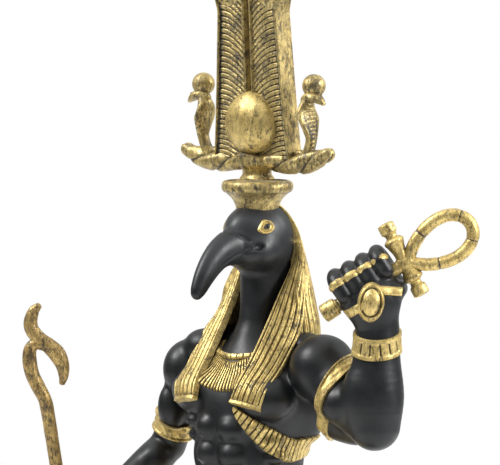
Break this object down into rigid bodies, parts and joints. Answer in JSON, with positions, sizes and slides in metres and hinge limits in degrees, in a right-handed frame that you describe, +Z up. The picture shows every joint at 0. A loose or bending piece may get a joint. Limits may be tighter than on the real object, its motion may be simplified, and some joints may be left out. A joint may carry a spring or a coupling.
{
  "type": "thoth ibis figure",
  "caption": "Black and antique-gold resin statuette of a striding ibis-headed Egyptian deity, with a raised ankh, an animal-headed staff and a tall plumed crown, on a low plinth.",
  "frame": {"origin": "centre of the plinth's underside", "axes": "+Z up, the figure faces -Y, its left side and the raised ankh are towards +X"},
  "size_m": [0.1296, 0.096, 0.3056],
  "materials": {
    "black_resin": "black satin paint on cast resin, slightly worn",
    "gold_paint": "antique gold paint on cast resin, with a dark wash in the grooves"
  },
  "bodies": {
    "root": {"figure": "black_resin", "crown": "gold_paint", "ankh": "gold_paint", "was_sceptre": "gold_paint", "plinth": "black_resin"}
  },
  "joints": []
}
